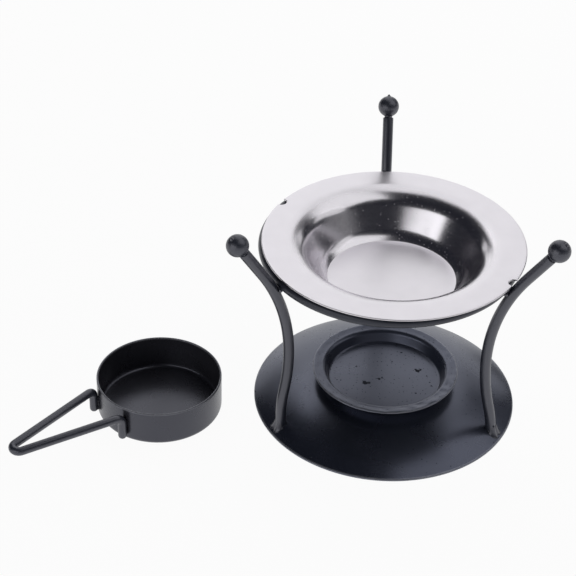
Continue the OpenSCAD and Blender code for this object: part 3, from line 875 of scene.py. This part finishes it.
class BURNER_OT_ring(Operator):
    """Ring of round bar between the legs"""
    bl_idname = "burner.ring"
    bl_label = "Support ring"

    def execute(self, context):
        rods = context.scene.burner_rods
        radius, z = ring_radius(), rods.ring_top - rods.ring_bar / 2
        path = [(round_ring(a, radius, z), 1.0) for a in full_turn(216)]
        # The ring's coat shines at half the level: painted shade for the shadow that the dish's rim casts on
        # it
        tone = context.scene.burner_finishes.coat
        coat = coat_material("satin black powder coat dulled by heat", tone, 0.36, shine=0.5)
        mesh = grown("bent ring", rod_tree(), path, closed=True, Diameter=rods.ring_bar, Sides=rods.sides,
                     Coat=coat)
        place_piece("bent_ring", mesh, "stand", "black_coat", "support_ring")
        return {"FINISHED"}


class BURNER_OT_welds(Operator):
    """Weld metal at the feet, at the ring and under the balls"""
    bl_idname = "burner.welds"
    bl_label = "Stand welds"

    def execute(self, context):
        for number, leg in enumerate(LEGS):
            _, ball, ring_weld, foot_r = leg_line(leg)
            mesh = self.fillet("foot weld " + leg, at_leg((foot_r, 0), leg), number)
            place_piece("foot_bead_" + leg, mesh, "stand", "coated_weld", "foot_weld_" + leg)
            mesh = self.seam("ring weld " + leg, at_leg(ring_weld, leg), leg_direction(leg), number)
            place_piece("ring_bead_" + leg, mesh, "stand", "coated_weld", "ring_weld_" + leg)
            mesh = self.neck("neck weld " + leg, context.scene.burner_rods, number)
            mesh.transform(at_ball(ball, leg))
            place_piece("neck_bead_" + leg, mesh, "stand", "coated_weld", "neck_weld_" + leg)
        return {"FINISHED"}

    def fillet(self, name, foot, number):
        """Weld metal that runs from the rod's outer side down to the plate, in two lobes with a hollow
        between."""
        tall, neck, reach, sunk, least, steps = 5.4 * MM, 2.3 * MM, 2.9 * MM, 0.5 * MM, 0.1, 12
        hollow_depth, hollow_width = 0.5, 0.32
        lump_height, lump_size = 0.15 * MM, 1.5 * MM
        away = math.atan2(foot.y, foot.x)
        fall = [(neck + reach * i / steps, tall * (1 - i / steps) ** 1.8, 0, 0) for i in range(steps + 1)]
        outline = [(0, tall, 0, 0)] + fall + [(neck + reach, -sunk, 0, 0), (0, -sunk, 0, 0)]

        def lobed(r, z, a):
            a = turned_from(a, 0)
            hollow = 1 - hollow_depth * math.exp(-(a / hollow_width) ** 2)
            share = least + (1 - least) * max(0, math.cos(a)) ** 0.7 * hollow
            lump = round_noise(a, 2.2, r / lump_size + 7 * number)
            r = r if r < neck else neck + (r - neck) * share + lump_height * lump
            x, y = foot.x + r * math.cos(away + a), foot.y + r * math.sin(away + a)
            return r, dome(math.hypot(x, y))[0] + z * (share if z > 0 else 1)

        mesh = spin(name, weld_coat(), outline, full_turn(72), lobed)
        mesh.transform(Matrix.Translation((foot.x, foot.y, 0)) @ Matrix.Rotation(away, 4, "Z"))
        return mesh

    def seam(self, name, spot, direction, number):
        """A short bead across the leg, between it and the ring, thinner at both ends."""
        side, low = Vector((-math.sin(direction), math.cos(direction), 0)), Vector((0, 0, -0.5 * MM))
        path = [(spot + side * s * MM + low, 1 - 0.1 * abs(s)) for s in (-2.4, -1.6, -0.8, 0, 0.8, 1.6, 2.4)]
        return grown(name, bead_tree(), path, Radius=1.7 * MM, Lumps=6, Seed=11 + number, Grain=0.14 * MM,
                     Coat=weld_coat())

    def neck(self, name, rods, number):
        """A waist of weld metal that runs out on the rod's end and on the ball."""
        inside_ball, on_rod, lump_height = 0.8 * MM, 0.15 * MM, 0.16 * MM
        under = -rods.ball / 2
        low = under - rods.neck_gap - on_rod
        outline = [(0, under + inside_ball, 0, 0)]
        for r, z in ((1.7, 0.55), (1.95, 0.36), (1.86, 0.2), (1.78, 0.02), (1.8, -0.15), (1.92, -0.3),
                     (2.05, -0.42)):
            outline.append((r * MM, under + z * MM, 0, 0))
        outline += [(1.7 * MM, low, 0, 0), (0, low, 0, 0)]

        def lumpy(r, z, a):
            push = round_noise(a, 1.6, z / MM + 5 * number)
            return r + lump_height * push, z

        return spin(name, weld_coat(), outline, full_turn(48), lumpy)


class BURNER_OT_dish(Operator):
    """Loose dish of bare drawn steel with two notches in its rim"""
    bl_idname = "burner.dish"
    bl_label = "Dish"

    def execute(self, context):
        rods = context.scene.burner_rods
        dish = context.scene.burner_dish
        centre = ring_centre() + Vector((dish.off_x, dish.off_y))
        rim_z, edge_r = rods.ring_top + dish.seat_gap + dish.sheet / 2, dish.diameter / 2
        floor_z, mouth = rim_z - dish.depth, edge_r - dish.rim
        # The floor turns up at its edge into a hollow curve that a straight run joins to the shoulder
        edge_mid = Vector((dish.floor / 2, floor_z + dish.edge))
        edge_side = Vector((math.sin(dish.edge_turn), -math.cos(dish.edge_turn)))
        hollow_mid = edge_mid + (dish.edge - dish.hollow) * edge_side
        shoulder_mid = Vector((mouth, rim_z - dish.shoulder))
        apart = shoulder_mid - hollow_mid
        slope = math.atan2(apart.y, apart.x) + math.asin((dish.hollow + dish.shoulder) / apart.length)
        path = run((0, floor_z, 0), (dish.floor / 2, floor_z, 0), 16)
        path += arc(edge_mid, dish.edge, 0, dish.edge_turn, 5)[:-1]
        hollow = arc(hollow_mid, dish.hollow, dish.edge_turn, slope, 24)
        shoulder = arc(shoulder_mid, dish.shoulder, slope, 0, 28)
        path += hollow[:-1] + run(hollow[-1], shoulder[0], 8) + shoulder[:-1]
        path += run(shoulder[-1], (edge_r, rim_z, 0), 10) + [(edge_r, rim_z, 0)]
        first_notch = rods.right_leg % math.tau
        notches = [first_notch, (first_notch + math.pi) % math.tau]

        def notched(r, z, a):
            for at in notches:
                off = abs(turned_from(a, at)) * edge_r
                if off < dish.notch:
                    past = r - edge_r if r > edge_r else 0
                    r = min(r, edge_r - math.sqrt(dish.notch ** 2 - off ** 2) + past)
            return r, z

        around = full_turn(320, *[(at, dish.notch / edge_r, 24) for at in notches])
        outline = sheet_outline(path, dish.sheet)
        mesh = spin("drawn dish", steel_material(centre), outline, around, notched)
        mesh.transform(Matrix.Translation((centre.x, centre.y, 0)))
        place_piece("drawn_dish", mesh, "dish", "bare_steel", "dish")
        return {"FINISHED"}


class BURNER_OT_pan(Operator):
    """Small drawn pan"""
    bl_idname = "burner.pan"
    bl_label = "Pan"

    def execute(self, context):
        pan = context.scene.burner_pan
        centre = pan_centre()
        half = pan.sheet / 2
        wall = pan.diameter / 2 - half
        path = run((0, half, 0), (wall - pan.corner, half, 0), 12)
        corner = arc((wall - pan.corner, half + pan.corner), pan.corner, 0, math.pi / 2, 16)
        top = (wall, pan.height - half, math.pi / 2)
        path += corner[:-1] + run(corner[-1], top, 14) + [top]
        coat = coat_material("satin charcoal coat on the pan", context.scene.burner_finishes.pan, 0.27,
                             shine=0.7, cast=(0.76, 0.78, 0.93))
        mesh = spin("drawn pan", coat, sheet_outline(path, pan.sheet), full_turn(256))
        mesh.transform(Matrix.Translation((centre.x, centre.y, 0)))
        place_piece("drawn_pan", mesh, "pan", "pan_coat", "pan")
        return {"FINISHED"}


class BURNER_OT_handle(Operator):
    """Wire handle of the pan and the welds behind its ends"""
    bl_idname = "burner.handle"
    bl_label = "Pan handle"

    def execute(self, context):
        pan = context.scene.burner_pan
        centre = pan_centre()
        elbow_steps, tip_steps, end_round = 12, 24, pan.wire * 0.45
        end_y, end_r = pan.span / 2, pan.diameter / 2 + context.scene.burner_rods.weld_gap + pan.wire / 2
        end_x = math.sqrt(end_r * end_r - end_y * end_y)
        along = (pan.reach - end_x) / math.cos(pan.fall)
        away = math.hypot(along, end_y)
        arm_turn = math.atan2(end_y, along) - math.asin(pan.tip / away)
        arm = math.sqrt(away * away - pan.tip * pan.tip)
        heading = math.atan2(math.tan(arm_turn), math.cos(pan.fall))
        arm_fall = math.asin(math.cos(arm_turn) * math.sin(pan.fall))
        elbow = pan.elbow * math.tan((math.pi / 2 + arm_fall) / 2)
        top_z = pan.arm_height - elbow
        middle = (pan.end_height + top_z) / 2
        in_place = Matrix.Translation((centre.x, centre.y, 0)) @ Matrix.Rotation(pan.direction, 4, "Z")

        def arm_line(side):
            points = [Vector((0, 0, pan.end_height)), Vector((0, 0, middle))]
            for i in range(elbow_steps + 1):
                a = math.pi - (math.pi / 2 + arm_fall) * i / elbow_steps
                out = pan.elbow + pan.elbow * math.cos(a)
                points.append(Vector((out, 0, top_z + pan.elbow * math.sin(a))))
            way = Vector((math.cos(arm_fall), 0, -math.sin(arm_fall)))
            start = Vector((0, 0, pan.arm_height))
            points += [start + way * (elbow + (arm - elbow) * t) for t in (0.25, 0.5, 0.75)]
            turned = Matrix.Translation((end_x, side * end_y, 0)) @ Matrix.Rotation(-side * heading, 4, "Z")
            return [turned @ p for p in points]

        half_turn = math.pi / 2 - arm_turn
        tip_z = pan.arm_height - along * math.sin(pan.fall)
        tilt = Matrix.Translation((pan.reach, 0, tip_z)) @ Matrix.Rotation(pan.fall, 4, "Y")
        tip = []
        for i in range(tip_steps + 1):
            a = half_turn - 2 * half_turn * i / tip_steps
            tip.append(tilt @ Vector((pan.tip * math.cos(a), pan.tip * math.sin(a), 0)))
        points = [in_place @ p for p in arm_line(1) + tip + arm_line(-1)[::-1]]
        path = with_round_ends(points, pan.wire / 2, end_round, end_round)
        mesh = grown("bent handle", rod_tree(), path, Diameter=pan.wire, Sides=32, Coat=black_coat())
        place_piece("bent_pan_handle", mesh, "pan", "black_coat", "pan_handle")

        end_turn, weld_r = math.asin(end_y / end_r), pan.diameter / 2 + 0.25 * MM
        for side, name in ((1, "front"), (-1, "back")):
            spot = Vector((math.cos(side * end_turn), math.sin(side * end_turn), 0)) * weld_r
            seam = [(in_place @ (spot + Vector((0, 0, middle + z * MM))), 1.0)
                    for z in (-3.2, -1.6, 0, 1.6, 3.2)]
            mesh = grown("handle weld " + name, bead_tree(), seam, Radius=0.95 * MM, Lumps=8, Seed=21 + side,
                         Grain=0.12 * MM, Coat=weld_coat())
            place_piece("handle_bead_" + name, mesh, "pan", "coated_weld", "handle_weld_" + name)
        return {"FINISHED"}


STEPS = (BURNER_OT_stage, BURNER_OT_plate, BURNER_OT_cup, BURNER_OT_legs, BURNER_OT_balls, BURNER_OT_ring,
         BURNER_OT_welds, BURNER_OT_dish, BURNER_OT_pan, BURNER_OT_handle)
GROUPS = {"burner_plate": PlateSizes, "burner_rods": RodSizes, "burner_dish": DishSizes,
          "burner_pan": PanSizes, "burner_finishes": Finishes}


class BURNER_PT_sidebar(Panel):
    """Sizes, colours and steps of the burner"""
    bl_label = "Wax melt burner"
    bl_space_type = "VIEW_3D"
    bl_region_type = "UI"
    bl_category = "Burner"

    def draw(self, context):
        for attribute, group in GROUPS.items():
            box = self.layout.box()
            box.label(text=group.__doc__)
            for name in group.__annotations__:
                box.prop(getattr(context.scene, attribute), name)
        for step in STEPS:
            self.layout.operator(step.bl_idname)


def register():
    for group in (*GROUPS.values(), *STEPS, BURNER_PT_sidebar):
        bpy.utils.register_class(group)
    for attribute, group in GROUPS.items():
        setattr(bpy.types.Scene, attribute, PointerProperty(type=group))


def unregister():
    for attribute in GROUPS:
        delattr(bpy.types.Scene, attribute)
    for group in (BURNER_PT_sidebar, *reversed(STEPS), *reversed(tuple(GROUPS.values()))):
        bpy.utils.unregister_class(group)


def main():
    register()
    for step in STEPS:
        getattr(bpy.ops.burner, step.bl_idname.split(".")[1])()


if __name__ == "__main__":
    main()
